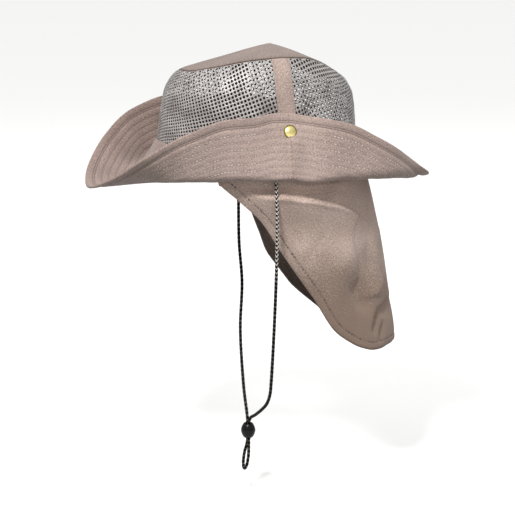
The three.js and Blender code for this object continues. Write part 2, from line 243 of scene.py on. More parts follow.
def cord_place(along, around):
    i = round(along * (len(cord_points) - 1))
    angle = 2 * math.pi * around
    way = along * cord_length
    t = Vector(cord_tangents[i])
    side = cord_sides[i]
    radius = cord_diameter / 2 * (1 - braid_relief / 2 + braid_relief * braid_height(way, angle))
    return Vector(cord_points[i]) + radius * (math.cos(angle) * side + math.sin(angle) * t.cross(side))


def cord_flat(along, around):
    return along * cord_length, around


bm = cloth_grid(len(cord_points) - 1, 16, cord_place, cord_flat, cord_flat, closed=True)
open_edges = [edge for edge in bm.edges if edge.is_boundary]
bmesh.ops.holes_fill(bm, edges=open_edges, sides=0)
bmesh.ops.recalc_face_normals(bm, faces=bm.faces)
chin_cord = finish_piece("chin_cord_braid", bm, ["chin_cord"])

# %% [markdown]
# ## The bead
# The lock on the cord is a moulded bead with a bore for both strands. It is a profile spun round
# the bead's axis, and a small bevel rounds the rings where the profile turns.

# %% Spun pieces and the bead
def spun(profile, segments=48, rounding=0.0, sharp_degrees=25):
    bm = bmesh.new()
    verts = [bm.verts.new((radius, 0, height)) for radius, height in profile]
    edges = [bm.edges.new(pair) for pair in zip(verts, verts[1:])]
    bmesh.ops.spin(
        bm, geom=verts + edges, cent=(0, 0, 0), axis=(0, 0, 1),
        angle=2 * math.pi, steps=segments, use_merge=True,
    )
    bmesh.ops.remove_doubles(bm, verts=bm.verts, dist=0.002 * mm)
    bmesh.ops.recalc_face_normals(bm, faces=bm.faces)
    if rounding:
        limit = math.radians(sharp_degrees)
        sharp = [edge for edge in bm.edges if edge.is_manifold and edge.calc_face_angle() > limit]
        bmesh.ops.bevel(
            bm, geom=sharp, offset=rounding, offset_type="OFFSET", affect="EDGES",
            segments=3, profile=0.5, material=-1,
        )
    return bm


bead_centre = Vector((0, -0.0084, -0.2935))
bead_diameter = 15 * mm
bead_height = 15 * mm
bead_waist = 0.59
bore_radius = 3.9 * mm
bead_curve = [(bore_radius, -bead_height / 2)]
for step in range(13):
    up = -1 + step / 6
    swell = bead_waist + (1 - bead_waist) * (1 - abs(up) ** 1.6) ** 0.85
    bead_curve.append((bead_diameter / 2 * swell, bead_height / 2 * up))
bead_curve.append((bore_radius, bead_height / 2))
bead_curve.append((bore_radius, -bead_height / 2))
bm = spun(bead_curve, 48, 0.35 * mm, 40)
bmesh.ops.translate(bm, verts=bm.verts, vec=bead_centre)
cord_bead = finish_piece("cord_bead", bm, ["cord_lock"])
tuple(cord_route[0])

# %% [markdown]
# ## The crown's lines
# The crown stands on an oval base line and ends in a smaller oval seam. Both are plain curves of
# the turn round the head: 0 is the front, 90 the wearer's left, 180 the back. Short tables say
# how the wall and the brim change with the turn, and one function reads them smoothly.

# %% Sizes of the crown, and how a table is read
base_half_length = 99 * mm
base_half_width = 84 * mm
base_arch = 8 * mm
seam_half_length = 83.5 * mm
seam_half_width = 56 * mm
seam_shift = 4.7 * mm
crown_height = 92 * mm
top_rise = 98.5 * mm
top_tilt = 13 * mm
top_back = 14 * mm

wall_table = {
    "turn": [0, 20, 46, 70, 90, 108, 124, 140, 160, 180],
    "height": [0.908, 0.889, 0.924, 0.975, 0.993, 0.984, 0.92, 0.835, 0.77, 0.77],
    "lean": [0.5, 0.5, 0.55, 0.6, 0.6, 0.5, 0.3, 0.15, 0.08, 0.08],
    "rounding": [8, 8, 7, 6, 6, 6, 5, 5, 5, 5],
}


def table_value(table, column, turn):
    turns, values = table["turn"], table[column]
    last = len(turns) - 1
    i = 0
    while i < last - 1 and turn > turns[i + 1]:
        i += 1

    def rate(k):
        return (values[k + 1] - values[k]) / (turns[k + 1] - turns[k])

    def slope(k):
        if k <= 0 or k >= last or rate(k - 1) * rate(k) <= 0:
            return 0
        return 2 * rate(k - 1) * rate(k) / (rate(k - 1) + rate(k))

    span = turns[i + 1] - turns[i]
    t = min(max((turn - turns[i]) / span, 0), 1)
    blend = t * t * (3 - 2 * t)
    swing = slope(i) * t * (t - 1) ** 2 + slope(i + 1) * t * t * (t - 1)
    return values[i] * (1 - blend) + values[i + 1] * blend + span * swing


def from_front(turn):
    return 360 - turn if turn > 180 else abs(turn)


def mix(a, b, share):
    return a + (b - a) * share


# %% Base line, seam and wall
def base_point(turn):
    a = math.radians(turn)
    return Vector((
        base_half_width * math.sin(a),
        -base_half_length * math.cos(a),
        base_arch * math.cos(2 * a),
    ))


def seam_point(turn):
    a = math.radians(turn)
    height = crown_height * table_value(wall_table, "height", from_front(turn))
    return Vector((
        seam_half_width * math.sin(a),
        seam_shift - seam_half_length * math.cos(a),
        height - top_tilt * (1 - math.sin(a)) / 2,
    ))


def wall_point(turn, up):
    base, seam = base_point(turn), seam_point(turn)
    lean = table_value(wall_table, "lean", from_front(turn))
    rounding = table_value(wall_table, "rounding", from_front(turn))
    inward = lean * up + (1 - lean) * up**rounding
    return Vector((mix(base.x, seam.x, inward), mix(base.y, seam.y, inward), mix(base.z, seam.z, up)))


print("base round in m:", round(sum((base_point(i) - base_point(i + 1)).length for i in range(360)), 3))

# %% [markdown]
# ## The brim
# The brim is two layers of twill over a stiff felt, sewn through in rows that run round it. Both
# sides are folded up, and the front falls beside the crown and then runs level. Each section runs
# from the crown to a fold, round it, and on to the rim. Its places are shares of the brim's width,
# except swing, which turns the section sideways by a few degrees.

# %% Brim sections
brim_width = 82 * mm
brim_table = {
    "turn": [0, 15, 30, 45, 60, 74, 84, 92, 100, 110, 122, 135, 150, 165, 180],
    "out": [0.2, 0.22, 0.3, 0.31, 0.22, 0.24, 0.23, 0.23, 0.24, 0.25, 0.28, 0.48, 0.67, 0.70, 0.73],
    "drop": [0.46, 0.43, 0.38, 0.37, 0.47, 0.54, 0.59, 0.59, 0.59, 0.59, 0.57, 0.50, 0.53, 0.46, 0.43],
    "rim_out": [
        0.885, 0.836, 0.734, 0.613, 0.400, 0.175, 0.069, 0.066,
        0.067, 0.177, 0.331, 0.493, 0.689, 0.917, 0.930,
    ],
    "rim_up": [
        -0.496, -0.340, -0.009, 0.339, 0.534, 0.566, 0.602, 0.599,
        0.564, 0.508, 0.397, 0.166, -0.156, -0.470, -0.580,
    ],
    "bend": [0.6, 0.3, 0.13, 0.13, 0.1, 0.06, 0.035, 0.035, 0.035, 0.06, 0.1, 0.13, 0.13, 0.12, 0.6],
    "swing": [0, -1, -2, 0, 1, 1, 0, 0, 0, 0, 0, -1, 1, 2, 0],
}


def brim_point(turn, out):
    """out is 0 at the crown, 1 where the fold begins, 2 where it ends and 3 at the rim."""
    side_turn = from_front(turn)
    base = base_point(turn)
    rim_up = table_value(brim_table, "rim_up", side_turn) * brim_width
    beside = wall_point(turn, max(0, rim_up) / crown_height)
    lean_in = math.hypot(base.x - beside.x, base.y - beside.y)
    corner = Vector((
        table_value(brim_table, "out", side_turn) * brim_width,
        -table_value(brim_table, "drop", side_turn) * brim_width,
    ))
    rim = Vector((table_value(brim_table, "rim_out", side_turn) * brim_width - lean_in, rim_up))
    first = corner.length
    into = corner.normalized()
    second = (rim - corner).length
    leaving = (rim - corner).normalized()
    bend = math.acos(max(-1, min(1, into.dot(leaving))))
    wanted = table_value(brim_table, "bend", side_turn) * brim_width * math.tan(bend / 2)
    tangent = min(wanted, 0.9 * first, 0.9 * second)
    radius = tangent / math.tan(bend / 2)
    if out <= 1:
        at = into * (first - tangent) * out
    elif out >= 2:
        at = corner + leaving * mix(tangent, second, out - 2)
    else:
        angle = bend * (out - 1)
        side = math.copysign(1, into.x * leaving.y - into.y * leaving.x)
        square = Vector((-into.y * side, into.x * side))
        at = corner + into * (radius * math.sin(angle) - tangent)
        at += square * radius * (1 - math.cos(angle))
    a = math.radians(turn)
    heading = math.atan2(base_half_length * math.sin(a), base_half_width * math.cos(a))
    heading += math.radians(table_value(brim_table, "swing", side_turn)) * math.copysign(1, turn)
    outward = Vector((math.sin(heading), -math.cos(heading), 0))
    return base + outward * at.x + Vector((0, 0, at.y))


# %% [markdown]
# ### The brim's grid
# The fold is sharpest at the two sides, so the columns lie closer together there. The grid's rows
# are laid by their true distance from the rim, so the sewn rows stay parallel to it. Sections
# differ a little in length, and what is left over is taken up near the crown.

# %% Brim grid
brim_columns = 320
brim_levels = 76
side_crowding = 12
usual_width = 80 * mm
section_outs = np.concatenate([np.linspace(0, 1, 8), np.linspace(1.05, 2, 20), np.linspace(2.1, 3, 10)])


@functools.cache
def brim_way(turn):
    """Length from the crown at each out of one section."""
    return way_along(np.array([brim_point(turn, out) for out in section_outs]))


def brim_turn(across):
    return 360 * across - 180 + side_crowding * math.sin(4 * math.pi * across)


def brim_from_rim(turn, down):
    """Distance from the rim at a share of the grid: even near the rim, stretched near the crown."""
    give = max(0, (down - 0.75) / 0.25) ** 2
    return down * usual_width + give * (brim_way(turn)[-1] - usual_width)


print("brim section in mm:", [round(brim_way(turn)[-1] / mm, 1) for turn in (0, 45, 90, 135, 180)])

# %% [markdown]
# ### Sewn rows of the brim
# A double row of topstitching holds the rim band, and single rows follow every seven millimetres
# as far as the crown. Thread pulls the layers together, so the wall is thin at each row, thinnest
# at the rim band's, and full between. A seam joins the two halves of the brim at each side. It
# puckers the cloth, steeply before the seam and softly after it.

# %% Brim piece
rim_band = 7.0 * mm
row_spacing = 6.9 * mm
rim_rows = [rim_band, rim_band + 1.9 * mm]
brim_inner_rows = [15.8 * mm + row_spacing * i for i in range(9)]
brim_full = 2.4 * mm
brim_seam_turn = 92.6
brim_seam_depth = 3.0 * mm
brim_degree = 1.6 * mm
brim_ripple = 0.9 * mm
groove_reach = 1.7 * mm
brim_round = np.array([brim_point(turn, 2.3) for turn in range(-180, 181)])
brim_round_way = way_along(brim_round)


def fullness_between(rows, distance, groove=groove_reach):
    nearest = min(abs(distance - row) for row in rows)
    return 1 - math.exp(-((nearest / groove) ** 2))


def brim_place(across, down):
    turn = brim_turn(across)
    way = brim_way(turn)
    out = float(np.interp(way[-1] - brim_from_rim(turn, down), way, section_outs))
    at = brim_point(turn, out)
    ripple = noise.noise(at * 22) * brim_ripple * (1 - down)
    past_seam = (abs(turn) - brim_seam_turn) * brim_degree
    reach = 1.5 * mm if past_seam < 0 else 9 * mm
    pucker = brim_seam_depth * math.exp(-((past_seam / reach) ** 2))
    pucker *= max(0, math.sin(math.pi * min(1, down / 0.8))) * max(0, min(1, (down - 0.2) * 8))
    return at + Vector((math.copysign(pucker, turn), 0, ripple))


def brim_flat(across, down):
    turn = brim_turn(across)
    return float(np.interp(turn, range(-180, 181), brim_round_way)), brim_from_rim(turn, down)


def brim_fullness(across, down):
    distance = brim_from_rim(brim_turn(across), down)
    rim = fullness_between(rim_rows, distance)
    return rim * (0.72 + 0.28 * fullness_between(brim_inner_rows, distance))


bm = cloth_grid(brim_columns, brim_levels, brim_place, brim_flat, brim_flat, brim_fullness, closed=True)
brim_area = sum(face.calc_area() for face in bm.faces)
brim = finish_piece("brim_quilted", bm, ["brim"])
give_wall(brim, brim_full, 0.42).material_offset = 1
print("brim area in m2:", round(brim_area, 4))

# %% [markdown]
# ## The crown's top
# One oval of twill, sewn round its edge to the net. It stands up to a soft low peak. One side of
# the grid closes to a point at the peak. At the seam the cloth rolls over and down, because its
# edge is turned in there.

# %% Crown top
top_roll = 1.8 * mm
top_wave = 1.1 * mm
top_groove = 2.6 * mm
top_usual_radius = 70 * mm


def top_point(turn, out):
    seam = seam_point(turn)
    rise = out**1.15
    at = Vector((seam.x * out, mix(top_back, seam.y, out), mix(top_rise, seam.z, rise)))
    edge = max(0, (out - 0.965) / 0.035)
    at.z -= top_roll * edge**2
    return at


def top_place(across, down):
    turn = 360 * across - 180
    out = 1 - down**1.25
    at = top_point(turn, out)
    wave = noise.noise(Vector((at.x * 16, at.y * 16, 3.0)))
    at.z += wave * top_wave * out * (1 - out) * 4
    return at


def top_seam(across, down):
    return across * 2 * math.pi * top_usual_radius, down**1.25 * top_usual_radius


def top_flat(across, down):
    at = top_point(360 * across - 180, 1 - down**1.25)
    return at.x, at.y


def top_fullness(across, down):
    return fullness_between([top_groove], top_seam(across, down)[1], 1.0 * mm)


bm = cloth_grid(150, 36, top_place, top_flat, top_seam, top_fullness, closed=True)
top_area = sum(face.calc_area() for face in bm.faces)
crown_top = finish_piece("crown_top_cloth", bm, ["crown_top"])
give_wall(crown_top, 1.5 * mm, 0.55).material_offset = 1
print("top area in m2:", round(top_area, 4))

# %% [markdown]
# ## The net panels
# The crown's side is open knitted net, so air moves through. A picture of holes would look flat
# and have no thickness. So the net is real: a square grid is turned to the slant that the knit
# hangs at, cut to the flat panel, each cell is inset and its middle taken out, and the sheet is
# bent round the crown. A wall and one subdivision make the strands round.

# %% Net panels
foot_up = 0.1 * mm / crown_height
head_up = 1 - 1.0 * mm / crown_height
strip_width = 17 * mm
net_pitch = 3.4 * mm
strand_width = 1.2 * mm
net_slant = math.radians(17)
panel_height = 84 * mm


def strip_turn(up):
    return mix(94, 90, up)


def half_width_turn(width, up):
    return math.degrees(width / 2 / mix(base_half_length, seam_half_length, up))


def net_front_turns(up):
    edge = strip_turn(up) - half_width_turn(strip_width - 4 * mm, up)
    return -edge, edge


def net_back_turns(up):
    edge = strip_turn(up) + half_width_turn(strip_width - 4 * mm, up)
    return edge, 360 - edge


def crumple(at):
    """Soft dents of the net: a few broad ones, many small ones, and one pushed in behind the strip."""
    broad = 1.3 * mm * noise.noise(at * 34)
    small = 0.9 * mm * noise.noise(at * 85 + Vector((5, 0, 0)))
    dent = 6.0 * mm * math.exp(-((at - wall_point(111, 0.5)).length / (10 * mm)) ** 2)
    return broad + small - dent


def net_panel(name, node, turns, slant):
    low_turn, high_turn = turns(0.4)
    stops = [wall_point(mix(low_turn, high_turn, i / 60), 0.4) for i in range(61)]
    width = sum((b - a).length for a, b in zip(stops, stops[1:]))
    bm = bmesh.new()
    cloth_map = bm.loops.layers.uv.new("cloth")
    count = math.ceil(math.hypot(width, panel_height) / net_pitch)
    bmesh.ops.create_grid(bm, x_segments=count, y_segments=count, size=count * net_pitch / 2)
    bmesh.ops.rotate(bm, verts=bm.verts, cent=(0, 0, 0), matrix=Matrix.Rotation(slant, 3, "Z"))
    bmesh.ops.translate(bm, verts=bm.verts, vec=(width / 2, panel_height / 2, 0))
    for corner, outward in (
        ((0, 0, 0), (-1, 0, 0)),
        ((width, 0, 0), (1, 0, 0)),
        ((0, 0, 0), (0, -1, 0)),
        ((0, panel_height, 0), (0, 1, 0)),
    ):
        everything = bm.verts[:] + bm.edges[:] + bm.faces[:]
        bmesh.ops.bisect_plane(bm, geom=everything, plane_co=corner, plane_no=outward, clear_outer=True)
    whole = [face for face in bm.faces if face.calc_area() > 0.45 * net_pitch**2]
    bmesh.ops.inset_individual(bm, faces=whole, thickness=strand_width / 2)
    bmesh.ops.delete(bm, geom=whole, context="FACES")
    for face in bm.faces:
        for loop in face.loops:
            loop[cloth_map].uv = (loop.vert.co.x, loop.vert.co.y)
    for vert in bm.verts:
        up = mix(foot_up, head_up, vert.co.y / panel_height)
        low, high = turns(up)
        at = wall_point(mix(low, high, vert.co.x / width), up)
        outward = Vector((at.x, at.y, 0)).normalized()
        vert.co = at + outward * crumple(at) * math.sin(math.pi * up) ** 0.7
    panel = finish_piece(name, bm, [node])
    wall = give_wall(panel, 0.55 * mm)
    wall.material_offset = 1
    wall.material_offset_rim = 1
    rounded = panel.modifiers.new("rounded", "SUBSURF")
    rounded.levels = 1
    rounded.render_levels = 1
    print(name, "flat width in mm:", round(width / mm))
    return panel, width


net_front, net_front_width = net_panel("net_front_mesh", "crown_net_front", net_front_turns, net_slant)
net_back, net_back_width = net_panel("net_back_mesh", "crown_net_back", net_back_turns, net_slant)

# %% [markdown]
# ## The side strips
# An upright strip of twill covers the join of the two net panels at each side. Its long edges are
# folded under and topstitched; the wall is drawn thinner along each row of stitches.

# %% Side strips
strip_stitch = 1.8 * mm
strip_height = 88 * mm


def side_strip(name, node, sign):
    def place(across, down):
        up = mix(foot_up, head_up, 1 - down)
        turn = strip_turn(up) + (across - 0.5) * 2 * half_width_turn(strip_width, up)
        at = wall_point(sign * turn, up)
        outward = Vector((at.x, at.y, 0)).normalized()
        return at + outward * (0.35 * mm + 0.3 * mm * noise.noise(at * 60))

    def flat(across, down):
        return across * strip_width, down * strip_height

    def seam(across, down):
        return down * strip_height, min(across, 1 - across) * strip_width

    def fullness(across, down):
        return fullness_between([strip_stitch], seam(across, down)[1], 0.8 * mm)

    bm = cloth_grid(20, 60, place, flat, seam, fullness)
    strip = finish_piece(name, bm, [node])
    give_wall(strip, 1.5 * mm, 0.6).material_offset = 1
    return strip


strip_left = side_strip("side_strip_left", "crown_strip_left", 1)
strip_right = side_strip("side_strip_right", "crown_strip_right", -1)

# %% [markdown]
# ## The neck flap
# One curved cut of single twill, sewn in under the brim and hanging free. It is longest at the
# middle of the back. Each column of the grid runs from the seam to the hem; the columns lie
# closer at the back, where the cloth turns sharply. Cloth simulation would settle it differently
# from the photo, so its folds are laid in one by one, as soft ridges along short lines.

# %% Flap surface
flap_half_width = 66 * mm
flap_reach = 150 * mm
flap_drop = 212 * mm
flap_front_turn = 48
flap_table = {
    "turn": [48, 58, 70, 85, 100, 115, 130, 145, 155, 162, 168, 174, 180],
    "side": [1.35, 1.18, 1.06, 0.94, 0.88, 0.89, 0.97, 1.24, 1.61, 2.11, 2.77, 3.62, 4.20],
    "back": [
        -0.395, -0.360, -0.258, -0.102, 0.039, 0.176, 0.299,
        0.447, 0.553, 0.645, 0.753, 0.862, 0.982,
    ],
    "down": [
        0.129, 0.146, 0.205, 0.312, 0.458, 0.596, 0.716,
        0.871, 0.931, 0.967, 0.989, 0.992, 0.991,
    ],
    "belly": [0, 0.01, 0.03, 0.05, 0.06, 0.07, 0.08, 0.1, 0.11, 0.12, 0.13, 0.14, 0.14],
    "far_back": [0.1, 0.13, 0.15, 0.16, 0.11, 0.05, 0.05, 0.14, 0.09, 0.06, 0.04, 0.02, 0],
}


def flap_turn(across):
    swing = 2 * across - 1
    turn = 180 + (180 - flap_front_turn) * math.copysign(abs(swing) ** 1.5, swing)
    return turn - 360 if turn > 180 else turn


def flap_point(turn, down):
    side_turn = from_front(turn)
    base = base_point(turn)
    tuck = 1 - 1.9 * mm / base_half_width
    head = Vector((base.x * tuck, base.y * tuck, base.z - 1.3 * mm))
    a = math.radians(turn)
    back = table_value(flap_table, "back", side_turn)
    if turn < 0:
        back += table_value(flap_table, "far_back", side_turn)
    hem = Vector((
        table_value(flap_table, "side", side_turn) * flap_half_width * math.sin(a),
        back * flap_reach,
        -table_value(flap_table, "down", side_turn) * flap_drop,
    ))
    swell = table_value(flap_table, "belly", side_turn) * flap_half_width
    swell *= math.sin(math.pi * down) ** 0.4
    return head.lerp(hem, down) + Vector((swell * math.sin(a), -swell * math.cos(a), 0))


flap_columns = 200
flap_rows = 130
flap_stops = 400


def flap_line(down):
    """Points across the flap at one share of the way down, and the way along them."""
    line = np.array([flap_point(flap_turn(i / flap_stops), down) for i in range(flap_stops + 1)])
    return line, way_along(line)


hem_line, hem_way = flap_line(1)
middle_way = flap_line(0.6)[1]
print("hem length in mm:", round(hem_way[-1] / mm))

# %% [markdown]
# ### The flap's hem
# The hem is turned up and sewn once. A column of the grid meets the hem at a slant at the front
# and square to it at the back, so the distance from the hem is measured to its nearest point.

# %% Hem and weave of the flap
hem_width = 8 * mm


@functools.cache
def flap_seam(across, down):
    """Way along the hem and distance from it, both by the nearest point of the hem."""
    at = np.array(flap_point(flap_turn(across), down))
    gaps = np.linalg.norm(hem_line - at, axis=1)
    nearest = int(gaps.argmin())
    return float(hem_way[nearest]), float(gaps[nearest])


def flap_flat(across, down):
    turn = flap_turn(across)
    column = (flap_point(turn, 1) - flap_point(turn, 0)).length
    return float(np.interp(across * flap_stops, range(flap_stops + 1), middle_way)), down * column


def flap_fullness(across, down):
    distance = flap_seam(across, down)[1]
    hem = 1 if distance < hem_width else 0.55
    return hem * (0.35 + 0.65 * fullness_between([hem_width], distance, 1.2 * mm))


# %% [markdown]
# ### Folds of the flap
# Each fold runs through a few points, given as a turn and a share of the way down. Its depth is
# how far it stands out, sharp is how quickly it rises on one side, soft is how slowly it falls
# away on the other, and toward points to the soft side. A negative depth makes a hollow.

# %% Folds
fold_stops = 48
down_side = Vector((0, 0, -1))
back_side = Vector((0, 1, 0))
flap_folds = [
    {
        "points": [
            (68, 0.7), (79, 0.61), (93, 0.42), (109, 0.355),
            (125, 0.355), (140, 0.36), (158, 0.39), (171, 0.45),
        ],
        "depth": 6.5 * mm, "sharp": 3.2 * mm, "soft": 24 * mm, "toward": down_side,
    },
    {
        "points": [
            (72, 0.65), (79, 0.61), (93, 0.42), (109, 0.355),
            (125, 0.355), (140, 0.36), (156, 0.39),
        ],
        "depth": 1.6 * mm, "sharp": 1.3 * mm, "soft": 3.2 * mm, "toward": down_side,
    },
    {
        "points": [(62, 0.84), (76, 0.55), (93, 0.32), (118, 0.25), (146, 0.25)],
        "depth": -4.5 * mm, "sharp": 4.5 * mm, "soft": 4.5 * mm, "toward": down_side,
    },
    {
        "points": [(58, 0.9), (74, 0.49), (96, 0.235), (120, 0.2), (144, 0.18)],
        "depth": 1.8 * mm, "sharp": 1.6 * mm, "soft": 3 * mm, "toward": down_side,
    },
    {
        "points": [(179, 0.79), (175, 0.8), (170, 0.815), (168, 0.85), (167, 0.89), (166, 0.93)],
        "depth": -6.5 * mm, "sharp": 2.2 * mm, "soft": 12 * mm, "toward": back_side,
    },
    {
        "points": [(173, 0.87), (171, 0.92), (169, 0.965)],
        "depth": -4.2 * mm, "sharp": 1.4 * mm, "soft": 5 * mm, "toward": back_side,
    },
    {
        "points": [(175, 0.68), (172, 0.7), (169, 0.73), (163, 0.75)],
        "depth": 4.0 * mm, "sharp": 2.6 * mm, "soft": 10 * mm, "toward": Vector((0, 0.7, 0.7)),
    },
    {
        "points": [(152, 0.7), (160, 0.78), (166, 0.8)],
        "depth": -6.5 * mm, "sharp": 8 * mm, "soft": 9 * mm, "toward": down_side,
    },
    {
        "points": [(88, 0.5), (94, 0.55), (99, 0.63), (103, 0.7), (108, 0.75), (113, 0.78)],
        "depth": -3.6 * mm, "sharp": 5 * mm, "soft": 16 * mm, "toward": back_side,
    },
    {
        "points": [(148, 0.36), (157, 0.4), (164, 0.46), (165, 0.54), (167, 0.62)],
        "depth": -3.2 * mm, "sharp": 13 * mm, "soft": 6 * mm, "toward": back_side,
    },
    {
        "points": [(120, 0.7), (132, 0.67), (145, 0.62), (152, 0.58)],
        "depth": 5.0 * mm, "sharp": 22 * mm, "soft": 26 * mm, "toward": down_side,
    },
    {
        "points": [(-172, 0.3), (-150, 0.45), (-128, 0.5), (-110, 0.62)],
        "depth": 3.4 * mm, "sharp": 3 * mm, "soft": 22 * mm, "toward": down_side,
    },
    {
        "points": [(-176, 0.62), (-166, 0.74), (-160, 0.9)],
        "depth": 3 * mm, "sharp": 2.5 * mm, "soft": 14 * mm, "toward": back_side,
    },
    {
        "points": [(180, 0.12), (178, 0.5), (-179, 0.8)],
        "depth": 2.2 * mm, "sharp": 7 * mm, "soft": 14 * mm, "toward": Vector((1, 0, 0)),
    },
]


def fold_line(points):
    stops = np.linspace(0, len(points) - 1, fold_stops)
    turns = np.interp(stops, range(len(points)), [turn % 360 for turn, down in points])
    downs = np.interp(stops, range(len(points)), [down for turn, down in points])
    turns = np.where(turns > 180, turns - 360, turns)
    return np.array([flap_point(turn, down) for turn, down in zip(turns, downs)])


for fold in flap_folds:
    fold["line"] = fold_line(fold["points"])
print("folds:", len(flap_folds))


# %% [markdown]
# ### Laying the folds
# Every point of the flap takes the relief of all folds, each by its nearest point. A fold fades
# out at both ends. Two soft noises add the unevenness of cloth that has been packed away.

# %% Flap piece
def fold_relief(at):
    total = 0
    for fold in flap_folds:
        gaps = np.linalg.norm(fold["line"] - np.array(at), axis=1)
        nearest = int(gaps.argmin())
        fade = math.sin(math.pi * (nearest + 0.5) / fold_stops) ** 0.6
        soft_side = (at - Vector(fold["line"][nearest])).dot(fold["toward"]) > 0
        reach = fold["soft"] if soft_side else fold["sharp"]
        total += fold["depth"] * fade * math.exp(-((gaps[nearest] / reach) ** 2))
    return total


def flap_place(across, down):
    turn = flap_turn(across)
    at = flap_point(turn, down)
    a = math.radians(turn)
    outward = Vector((math.sin(a), -math.cos(a), 0))
    soft = noise.noise(at * 10) * 3.5 * mm + noise.noise(at * 30) * 1.0 * mm
    free = math.sin(math.pi * min(1, down * 1.1) / 1.1) ** 0.5
    return at + outward * (soft * free + fold_relief(at) * min(1, down * 8))


bm = cloth_grid(flap_columns, flap_rows, flap_place, flap_flat, flap_seam, flap_fullness)
flap_area = sum(face.calc_area() for face in bm.faces)
flap = finish_piece("neck_flap_cloth", bm, ["neck_flap"])
give_wall(flap, 1.8 * mm, 0.3).material_offset = 1
print("flap area in m2:", round(flap_area, 4))

# %% [markdown]
# ## The snaps
# Each folded side is held by a brass snap: a domed cap outside, with its post through the cloth,
# and a socket ring behind. Both are profiles spun round the snap's axis, which stands square to
# the brim.

# %% Snaps
snap_turn = 92.8
snap_inset = 18 * mm
outer_leg_share = 0.74
snap_place = 3 - snap_inset / (brim_width * outer_leg_share)
cap_radius = 6.5 * mm
post_radius = 2.2 * mm
cap_seat = 1.3 * mm
dome_radius = 5.3 * mm
dome_rise = 1.7 * mm
cap_curve = [
    (0, -2.4 * mm),
    (post_radius, -2.4 * mm),
    (post_radius, cap_seat - 0.3 * mm),
    (cap_radius - 0.4 * mm, cap_seat - 0.3 * mm),
    (cap_radius, cap_seat + 0.35 * mm),
    (cap_radius - 0.35 * mm, cap_seat + 0.95 * mm),
    (dome_radius + 0.2 * mm, cap_seat + 0.7 * mm),
]
for step in range(9):
    share = 1 - step / 8
    cap_curve.append((dome_radius * share, cap_seat + 0.7 * mm + dome_rise * (1 - share**2.4)))
socket_curve = [
    (2.5 * mm, -1.3 * mm),
    (2.5 * mm, -3.1 * mm),
    (5.2 * mm, -3.1 * mm),
    (5.75 * mm, -2.2 * mm),
    (5.2 * mm, -1.3 * mm),
    (2.5 * mm, -1.3 * mm),
]


def snap_frame(sign):
    turn = sign * snap_turn
    at = brim_point(turn, snap_place)
    along_turn = brim_point(turn + 0.5, snap_place) - brim_point(turn - 0.5, snap_place)
    along_out = brim_point(turn, snap_place + 0.02) - brim_point(turn, snap_place - 0.02)
    outward = along_turn.cross(along_out).normalized()
    if outward.x * sign < 0:
        outward.negate()
    return Matrix.Translation(at) @ outward.to_track_quat("Z", "Y").to_matrix().to_4x4()


snap_pieces = []
for side, sign in (("left", 1), ("right", -1)):
    for part, curve in (("cap", cap_curve), ("socket", socket_curve)):
        bm = spun(curve, 48)
        for face in bm.faces:
            face.material_index = int(Vector(face.calc_center_median()[:2]).length > dome_radius)
        bmesh.ops.transform(bm, matrix=snap_frame(sign), verts=bm.verts)
        node = f"snap_{part}_{side}"
        snap_pieces.append(finish_piece(f"{node}_spun", bm, [node]))

# %% [markdown]
# ## Colours and the node helper
# Colours are chosen as the eye sees them, in sRGB, and turned to linear by one function. One
# small function adds a node, sets it and links it; a source may be a node or a socket.

# %% Colour and node helpers
def linear(hex_colour):
    channels = [int(hex_colour[i : i + 2], 16) / 255 for i in (1, 3, 5)]
    light = [c / 12.92 if c <= 0.04045 else ((c + 0.055) / 1.055) ** 2.4 for c in channels]
    return (*light, 1.0)


def add_node(material, kind, inputs=None, **settings):
    node = material.node_tree.nodes.new(kind)
    for name, value in settings.items():
        setattr(node, name, value)
    for socket, value in (inputs or {}).items():
        if isinstance(value, bpy.types.Node):
            value = value.outputs[0]
        if isinstance(value, bpy.types.NodeSocket):
            material.node_tree.links.new(value, node.inputs[socket])
        else:
            node.inputs[socket].default_value = value
    return node


def new_material(name):
    material = bpy.data.materials.new(name)
    material.use_nodes = True
    return material, material.node_tree.nodes["Principled BSDF"]


def join_shader(material, shader, colour, bump, roughness):
    """Link the finish of one material; the roughness is a number or a node."""
    material.node_tree.links.new(colour.outputs["Result"], shader.inputs["Base Color"])
    material.node_tree.links.new(bump.outputs["Normal"], shader.inputs["Normal"])
    if isinstance(roughness, bpy.types.Node):
        material.node_tree.links.new(roughness.outputs["Result"], shader.inputs["Roughness"])
    else:
        shader.inputs["Roughness"].default_value = roughness


# %% [markdown]
# ## Cotton twill
# Khaki cotton twill: dull, slightly hairy, with a fine diagonal rib and yarns that differ a
# little in shade. The real yarns are about a third of a millimetre, too fine to show, so they are
# drawn at one millimetre. Warp and weft are two noises, each stretched along its own way. Broad
# patches a few centimetres wide stand for the way that washed cotton fades unevenly. The diagonal
# bands of Blender's wave texture lie 0.444 apart at a scale of one, which gives the rib its scale.

# %% Weave
twill_rib = 1.697 * mm
band_step = 0.444
yarn_size = 1.0 * mm
faded_patch = 100 / 3 * mm
warp_and_weft = ((1.0, 0.5, 1.0), (0.5, 1.0, 1.0))


